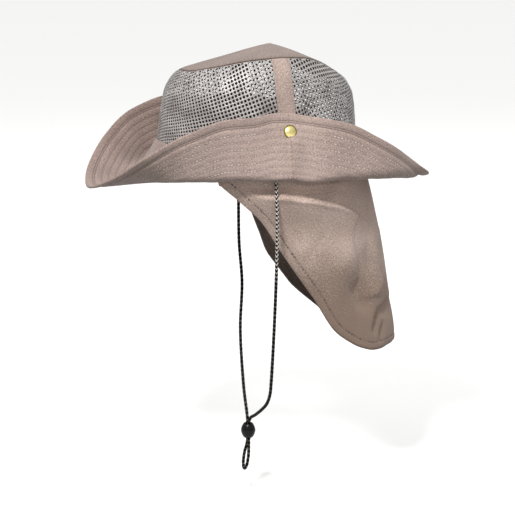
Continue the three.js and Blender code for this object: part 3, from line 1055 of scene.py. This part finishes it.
def woven(material, where, place):
    """The height of the weave, and the same with faded patches, both from about 0 to 1."""
    rib = add_node(
        material, "ShaderNodeTexWave",
        {"Vector": where, "Scale": band_step / twill_rib, "Distortion": 2.0, "Detail": 2.0,
         "Detail Scale": 0.6},
        bands_direction="DIAGONAL",
    )
    weave = add_node(
        material, "ShaderNodeMath", {0: rib.outputs["Fac"], 1: 0.16, 2: -1.06},
        operation="MULTIPLY_ADD",
    )
    for stretch in warp_and_weft:
        along = add_node(material, "ShaderNodeVectorMath", {0: where, 1: stretch}, operation="MULTIPLY")
        yarns = add_node(
            material, "ShaderNodeTexNoise", {"Vector": along, "Scale": 1 / yarn_size, "Detail": 2.0}
        )
        weave = add_node(
            material, "ShaderNodeMath", {0: yarns.outputs["Fac"], 1: 1.2, 2: weave},
            operation="MULTIPLY_ADD",
        )
    patches = add_node(
        material, "ShaderNodeTexNoise", {"Vector": place, "Scale": 1 / faded_patch, "Detail": 4.0}
    )
    faded = add_node(
        material, "ShaderNodeMath", {0: patches.outputs["Fac"], 1: 0.6, 2: weave},
        operation="MULTIPLY_ADD",
    )
    return weave, faded


# %% [markdown]
# ### Stitches and sewn lines
# The "seam" map tells how far a point is along and away from a sewn edge. A line lies where the
# distance from it is small, and a stitch is the part of a line where the way along it, counted
# in steps of one stitch, is in the first three fifths of a step. Worn thread shows in some
# places more than in others, so a noise thins it.

# %% Stitches
thread_width = 0.9 * mm
stitch_pitch = 3.3 * mm
stitch_share = 0.6
rubbed_patch = 20 / 3 * mm


def distance_from(material, way, lines):
    """How far a point is from the nearest of some lines, along one way of the seam map."""
    nearest = None
    for line in lines:
        off = add_node(material, "ShaderNodeMath", {0: way, 1: line}, operation="SUBTRACT")
        off = add_node(material, "ShaderNodeMath", {0: off}, operation="ABSOLUTE")
        if nearest:
            off = add_node(material, "ShaderNodeMath", {0: off, 1: nearest}, operation="MINIMUM")
        nearest = off
    return nearest


def fall(material, value, near, far, strength, rest=0.0):
    """A share that is strength up to near and falls evenly to rest at far."""
    return add_node(
        material, "ShaderNodeMapRange",
        {"Value": value, "From Min": near, "From Max": far, "To Min": strength, "To Max": rest},
    )


def stitches(material, seam, off_line, place, width, pitch, show):
    on_line = fall(material, off_line, width * 0.35, width * 0.7, 1)
    beat = add_node(
        material, "ShaderNodeMath", {0: seam.outputs["X"], 1: pitch}, operation="FLOORED_MODULO"
    )
    dash = add_node(
        material, "ShaderNodeMath", {0: beat, 1: pitch * stitch_share}, operation="LESS_THAN"
    )
    thread = add_node(material, "ShaderNodeMath", {0: on_line, 1: dash}, operation="MULTIPLY")
    rubbed = add_node(
        material, "ShaderNodeTexNoise", {"Vector": place, "Scale": 1 / rubbed_patch, "Detail": 3.0}
    )
    kept = fall(material, rubbed.outputs["Fac"], 0.42, 0.58, 0.15, show)
    return add_node(material, "ShaderNodeMath", {0: thread, 1: kept}, operation="MULTIPLY")


# %% [markdown]
# ### The twill's finish
# Every cut of twill has its own pair of shades, stitched rows and thread. The rest are options:
# groove paints shade into the cloth beside a row, dark_lines paint that shade along deeper lines
# such as a join, an edge width paints a shadow along the rolled fold at a cut's edge, plain_sides
# takes thread away at the middle of each side, where the snaps have rubbed it, and a low-shade
# amount paints shade that darkens the cloth towards the flap's hem.

# %% Cotton twill
# Painted shade for the grooves beside sewn rows and along the deeper lines.
painted_groove_shade = "#4b3e38"
# Painted shadow under the rolled fold at a cut's edge.
painted_edge_shadow = "#42342e"
# Heights of the flap over which painted shade darkens it towards the hem.
low_shade_from = -0.095
low_shade_to = -0.185


def cotton_twill(
    name, light_shade, dark_shade, rows, thread_shade,
    groove=0.3, thread_show=1.0, width=thread_width, pitch=stitch_pitch,
    dark_lines=(), edge_shadow_width=0.0, plain_sides=0.0, low_painted_shade=0.0,
):
    material, shader = new_material(name)
    where = add_node(material, "ShaderNodeUVMap", uv_map="cloth")
    place = add_node(material, "ShaderNodeTexCoord").outputs["Object"]
    spot = add_node(material, "ShaderNodeSeparateXYZ", {0: place})
    seam = add_node(
        material, "ShaderNodeSeparateXYZ", {0: add_node(material, "ShaderNodeUVMap", uv_map="seam")}
    )
    weave, shade = woven(material, where, place)
    # Painted shade: darker lower down on the flap.
    if low_painted_shade:
        low_shade_share = fall(material, spot.outputs["Z"], low_shade_from, low_shade_to, 0.0, low_painted_shade)
        shade = add_node(material, "ShaderNodeMath", {0: shade, 1: low_shade_share}, operation="SUBTRACT")
    off_row = distance_from(material, seam.outputs["Y"], rows)
    thread = stitches(material, seam, off_row, place, width, pitch, thread_show)
    if plain_sides:
        from_side = add_node(material, "ShaderNodeMath", {0: spot.outputs["Y"]}, operation="ABSOLUTE")
        shown = fall(material, from_side, 0.01, 0.05, 1 - plain_sides, 1.0)
        thread = add_node(material, "ShaderNodeMath", {0: thread, 1: shown}, operation="MULTIPLY")

    # Painted shade beside each row and along each dark line.
    layers = [(fall(material, off_row, 0.0, groove_reach, groove), painted_groove_shade)]
    for axis, line, darkness in dark_lines:
        off = distance_from(material, seam.outputs[axis], [line])
        layers.append((fall(material, off, 0.2 * mm, 0.9 * mm, darkness), painted_groove_shade))
    layers.append((thread, thread_shade))
    # Painted shadow along the rolled fold at the edge.
    if edge_shadow_width:
        edge_shadow_share = fall(material, seam.outputs["Y"], edge_shadow_width * 0.7, edge_shadow_width * 1.2, 0.85)
        layers.append((edge_shadow_share, painted_edge_shadow))
    colour = add_node(
        material, "ShaderNodeMix", {"Factor": shade, "A": linear(dark_shade), "B": linear(light_shade)},
        data_type="RGBA",
    )
    for share, layer_shade in layers:
        colour = add_node(
            material, "ShaderNodeMix",
            {"Factor": share, "A": colour.outputs["Result"], "B": linear(layer_shade)},
            data_type="RGBA",
        )

    relief = add_node(
        material, "ShaderNodeBump", {"Height": weave, "Strength": 0.9, "Distance": 0.35 * mm}
    )
    relief = add_node(
        material, "ShaderNodeBump",
        {"Height": thread, "Strength": 0.8, "Distance": 0.4 * mm, "Normal": relief},
    )
    join_shader(material, shader, colour, relief, 0.92)
    shader.inputs["Sheen Weight"].default_value = 0.2
    shader.inputs["Sheen Roughness"].default_value = 0.5
    shader.inputs["Specular IOR Level"].default_value = 0.25
    return material


def wear(piece, *materials):
    for material in materials:
        piece.data.materials.append(material)


# %% [markdown]
# ### Where the twill goes
# The brim's underside is sewn with a pale thread and its upper side with a dark one. The upper
# side and the crown's top are darker copies of the same khaki, painted shade, and the flap is a
# lighter copy, painted light. Every face inside the hat gets a darker copy again, painted shade.
# A cloth piece has two finishes: the first is on the side that its grid faces, and the wall gives
# the other side the second.

# %% Put the twill on
pale_thread = "#dccdc3"
dark_thread = "#75655e"
# Dark lines along the rim band's rows and the side joins: painted shade in their grooves and creases.
rim_lines = [("Y", row, 0.55) for row in rim_rows]
brim_joins = [
    ("X", float(np.interp(turn, range(-180, 181), brim_round_way)), 0.22)
    for turn in (-brim_seam_turn, brim_seam_turn)
]
# Upper side: a darker copy of the under side's khaki, painted shade; the inside is the under side.
wear(
    brim,
    cotton_twill(
        "upper_brim_twill_painted_shade", "#a69188", "#62534c", brim_inner_rows, dark_thread,
        groove=0.36, thread_show=0.8, dark_lines=rim_lines,
    ),
    cotton_twill(
        "under_brim_cotton_twill", "#c9b3a9", "#7f6e67", brim_inner_rows, pale_thread,
        dark_lines=rim_lines + brim_joins, plain_sides=0.75,
    ),
)
# A darker copy of the twill for every face inside the hat: painted shade.
shaded_inside_light = "#7d6d65"
shaded_inside_dark = "#54483f"
shaded_inside_thread = "#8b7c73"
top_row = 3.2 * mm
# The top's khaki is a darker copy, painted shade; its edge has a painted shadow under the roll, and its
# inside finish is painted shade.
wear(
    crown_top,
    cotton_twill(
        "crown_cotton_twill", "#968379", "#4b403b", [top_row], "#9c8b82", edge_shadow_width=1.2 * mm
    ),
    cotton_twill("inner_crown_twill_painted_shade", shaded_inside_light, shaded_inside_dark, [top_row], shaded_inside_thread),
)
strip_outside = cotton_twill(
    "strip_cotton_twill", "#c0aba1", "#77675f", [strip_stitch], "#b09f95", groove=0.2
)
# The inside finish is painted shade.
strip_inside_painted_shade = cotton_twill(
    "inner_strip_twill_painted_shade", shaded_inside_light, shaded_inside_dark, [strip_stitch], shaded_inside_thread
)
wear(strip_left, strip_inside_painted_shade, strip_outside)
wear(strip_right, strip_outside, strip_inside_painted_shade)
# Inside: painted shade. Outside: a lighter copy of the khaki, painted light, darkened towards the hem
# by painted shade.
wear(
    flap,
    cotton_twill("inner_flap_twill_painted_shade", shaded_inside_light, shaded_inside_dark, [hem_width], shaded_inside_thread),
    cotton_twill(
        "flap_cotton_twill", "#ebd3c6", "#8c7769", [hem_width], "#5d4f48",
        groove=0.2, width=1.3 * mm, pitch=4.2 * mm, low_painted_shade=0.9,
    ),
)

# %% [markdown]
# ## Knitted net
# Polyester net: smooth, shiny strands that catch small highlights. The side that faces the head
# is a duller, near-black copy, a painted shade for the shaded inside, which is why its holes look
# black. Its fibres are far finer than a pixel, so they are drawn as specks nearly a millimetre wide.

# %% Net
net_fibre = 10 / 11 * mm
net_patch = 50 / 3 * mm


def knitted_net(name, light_shade, dark_shade, roughness):
    material, shader = new_material(name)
    where = add_node(material, "ShaderNodeUVMap", uv_map="cloth")
    fibres = add_node(
        material, "ShaderNodeTexNoise", {"Vector": where, "Scale": 1 / net_fibre, "Detail": 2.0}
    )
    patches = add_node(
        material, "ShaderNodeTexNoise", {"Vector": where, "Scale": 1 / net_patch, "Detail": 2.0}
    )
    shade = add_node(
        material, "ShaderNodeMath", {0: fibres.outputs["Fac"], 1: 1.4, 2: -0.6},
        operation="MULTIPLY_ADD",
    )
    shade = add_node(
        material, "ShaderNodeMath", {0: patches.outputs["Fac"], 1: 0.6, 2: shade},
        operation="MULTIPLY_ADD",
    )
    colour = add_node(
        material, "ShaderNodeMix", {"Factor": shade, "A": linear(dark_shade), "B": linear(light_shade)},
        data_type="RGBA",
    )
    bump = add_node(
        material, "ShaderNodeBump",
        {"Height": fibres.outputs["Fac"], "Strength": 0.7, "Distance": 0.35 * mm},
    )
    join_shader(material, shader, colour, bump, roughness)
    shader.inputs["Specular IOR Level"].default_value = 0.7
    return material


net_outside = knitted_net("knitted_polyester_net", "#dfd8d5", "#2e2825", 0.28)
# The side that faces the head: a near-black, dull copy, painted shade.
net_inside_painted_shade = knitted_net("inner_net_painted_shade", "#2e2724", "#1c1816", 0.8)
wear(net_front, net_outside, net_inside_painted_shade)
wear(net_back, net_outside, net_inside_painted_shade)

# %% [markdown]
# ## Brass
# The snap caps are pressed from thin brass and lacquered: pale yellow and bright on the dome,
# with faint scuffs, and a darker brass on the ring outside the dome.

# %% Brass
scuff_size = 10 / 9 * mm


def pressed_brass(name, light_shade, dark_shade, roughness):
    material, shader = new_material(name)
    place = add_node(material, "ShaderNodeTexCoord").outputs["Object"]
    scuffs = add_node(
        material, "ShaderNodeTexNoise", {"Vector": place, "Scale": 1 / scuff_size, "Detail": 4.0}
    )
    rough = add_node(
        material, "ShaderNodeMapRange",
        {"Value": scuffs.outputs["Fac"], "To Min": roughness, "To Max": roughness + 0.2},
    )
    colour = add_node(
        material, "ShaderNodeMix",
        {"Factor": scuffs.outputs["Fac"], "A": linear(dark_shade), "B": linear(light_shade)},
        data_type="RGBA",
    )
    bump = add_node(
        material, "ShaderNodeBump",
        {"Height": scuffs.outputs["Fac"], "Strength": 0.15, "Distance": 0.05 * mm},
    )
    join_shader(material, shader, colour, bump, rough)
    shader.inputs["Metallic"].default_value = 1.0
    return material


bright_brass = pressed_brass("lacquered_pressed_brass", "#eee2a4", "#cdbb72", 0.3)
darker_ring_brass = pressed_brass("darker_ring_pressed_brass", "#8f7f45", "#6d5f34", 0.4)
for piece in snap_pieces:
    wear(piece, bright_brass, darker_ring_brass)

# %% [markdown]
# ## Black ABS
# The bead is moulded in black ABS: glossy, with the faint unevenness of a small moulding. Its
# gloss is held back a little, because a bright studio would turn it grey.

# %% Bead plastic
bead_unevenness = 50 / 13 * mm
bead_plastic, shader = new_material("moulded_black_abs")
bead_place = add_node(bead_plastic, "ShaderNodeTexCoord").outputs["Object"]
bead_uneven = add_node(
    bead_plastic, "ShaderNodeTexNoise",
    {"Vector": bead_place, "Scale": 1 / bead_unevenness, "Detail": 3.0},
)
bead_rough = add_node(
    bead_plastic, "ShaderNodeMapRange",
    {"Value": bead_uneven.outputs["Fac"], "To Min": 0.16, "To Max": 0.34},
)
bead_colour = add_node(
    bead_plastic, "ShaderNodeMix",
    {"Factor": bead_uneven.outputs["Fac"], "A": linear("#080708"), "B": linear("#141214")},
    data_type="RGBA",
)
bead_bump = add_node(
    bead_plastic, "ShaderNodeBump",
    {"Height": bead_uneven.outputs["Fac"], "Strength": 0.1, "Distance": 0.1 * mm},
)
join_shader(bead_plastic, shader, bead_colour, bead_bump, bead_rough)
shader.inputs["IOR"].default_value = 1.54
shader.inputs["Specular IOR Level"].default_value = 0.15
wear(cord_bead, bead_plastic)

# %% [markdown]
# ## Braided cord
# Polyester yarn in near black with a pale yarn beside it: two families of strands wind opposite
# ways and meet in chevrons. One half of the cord's round shows one family and the other half the
# other. A strand is pale over a share of its width, which is large near the brim, where fingers
# don't reach, and small below.

# %% Cord yarn
cord_fuzz_size = 2 / 3 * mm
pale_share_up = 0.35
pale_share_down = 0.035
fresh_length = 85 * mm
worn_length = 110 * mm
cord_yarn, shader = new_material("braided_polyester_yarn")
cord_where = add_node(
    cord_yarn, "ShaderNodeSeparateXYZ", {0: add_node(cord_yarn, "ShaderNodeUVMap", uv_map="cloth")}
)
cord_winds = []
for way in (1, -1):
    turned = add_node(
        cord_yarn, "ShaderNodeMath", {0: cord_where.outputs["X"], 1: way / braid_pitch},
        operation="MULTIPLY",
    )
    turned = add_node(
        cord_yarn, "ShaderNodeMath", {0: cord_where.outputs["Y"], 1: 2.0, 2: turned},
        operation="MULTIPLY_ADD",
    )
    turned = add_node(cord_yarn, "ShaderNodeMath", {0: turned}, operation="FRACT")
    cord_winds.append(turned)
cord_worn = fall(
    cord_yarn, cord_where.outputs["X"], fresh_length, worn_length, pale_share_up, pale_share_down
)
cord_tracers = [
    add_node(cord_yarn, "ShaderNodeMath", {0: wind, 1: cord_worn}, operation="LESS_THAN")
    for wind in cord_winds
]
cord_half = add_node(
    cord_yarn, "ShaderNodeMath", {0: cord_where.outputs["Y"], 1: 2.0}, operation="MULTIPLY"
)
cord_half = add_node(cord_yarn, "ShaderNodeMath", {0: cord_half}, operation="FRACT")
cord_half = add_node(cord_yarn, "ShaderNodeMath", {0: cord_half, 1: 0.5}, operation="LESS_THAN")
cord_fleck = add_node(
    cord_yarn, "ShaderNodeMix", {"Factor": cord_half, "A": cord_tracers[0], "B": cord_tracers[1]},
)
cord_colour = add_node(
    cord_yarn, "ShaderNodeMix", {"Factor": cord_fleck, "A": linear("#080606"), "B": linear("#eae2dc")},
    data_type="RGBA",
)
cord_spot = add_node(cord_yarn, "ShaderNodeTexCoord").outputs["Object"]
cord_fuzz = add_node(
    cord_yarn, "ShaderNodeTexNoise",
    {"Vector": cord_spot, "Scale": 1 / cord_fuzz_size, "Detail": 2.0},
)
cord_bump = add_node(
    cord_yarn, "ShaderNodeBump",
    {"Height": cord_fuzz.outputs["Fac"], "Strength": 0.5, "Distance": 0.2 * mm},
)
join_shader(cord_yarn, shader, cord_colour, cord_bump, 0.75)
shader.inputs["Specular IOR Level"].default_value = 0.06
wear(chin_cord, cord_yarn)

# %% [markdown]
# ## What each sheet was cut to
# A cloth keeps its area when it is bent or hung.

# %% [markdown]
# ## Studio
# A pale floor well below the hat, and a surround that is brighter above than below, so that the
# cloth falls into shade where it faces down. The floor would throw light back and wash that
# shade out, so its rays are switched off for dull surfaces. A key light from the front left and
# above puts the flap's top in the brim's shade, and a weak wide one from behind draws the edges.
# The plain view transform shows the hex colours as they were chosen.

# %% Floor and light
floor_height = -0.36
floor_radius = 40.0
floor_bm = bmesh.new()
bmesh.ops.create_circle(floor_bm, cap_ends=True, segments=64, radius=floor_radius)
bmesh.ops.translate(floor_bm, verts=floor_bm.verts, vec=(0, 0, floor_height))
floor_mesh = bpy.data.meshes.new("floor")
floor_bm.to_mesh(floor_mesh)
floor_bm.free()
floor = bpy.data.objects.new("floor", floor_mesh)
bpy.context.collection.objects.link(floor)
floor.visible_diffuse = False
floor_paint, shader = new_material("pale_floor_paint")
shader.inputs["Base Color"].default_value = linear("#f8f8f7")
shader.inputs["Roughness"].default_value = 0.9
wear(floor, floor_paint)

surround = bpy.data.worlds.new("surround")
surround.use_nodes = True
sky = surround.node_tree.nodes["Background"]
sky.inputs["Color"].default_value = linear("#f8f8f8")
sky_way = add_node(surround, "ShaderNodeTexCoord").outputs["Generated"]
sky_way = add_node(surround, "ShaderNodeSeparateXYZ", {0: sky_way})
sky_strength = add_node(
    surround, "ShaderNodeMapRange",
    {"Value": sky_way.outputs["Z"], "From Min": -0.3, "From Max": 0.9, "To Min": 0.34, "To Max": 1.2},
)
surround.node_tree.links.new(sky_strength.outputs[0], sky.inputs["Strength"])
bpy.context.scene.world = surround

for name, turn, rise, distance, size, power in (
    ("key", 54, 44, 2.2, 0.3, 38),
    ("rim", 250, 40, 2.2, 1.2, 7),
):
    data = bpy.data.lights.new(name, "AREA")
    data.size = size
    data.energy = power
    lamp = bpy.data.objects.new(name, data)
    bpy.context.collection.objects.link(lamp)
    back = direction(turn, rise)
    lamp.location = aim_point + back * distance
    lamp.rotation_mode = "QUATERNION"
    lamp.rotation_quaternion = (-back).to_track_quat("-Z", "Y")

bpy.context.scene.view_settings.view_transform = "Standard"

# %% [markdown]
# ## The last update
# The modelled cloth is meant to reach no further than the imported solids; here the view
# layer is only brought up to date.

# %% Update of the view layer
bpy.context.view_layer.update()
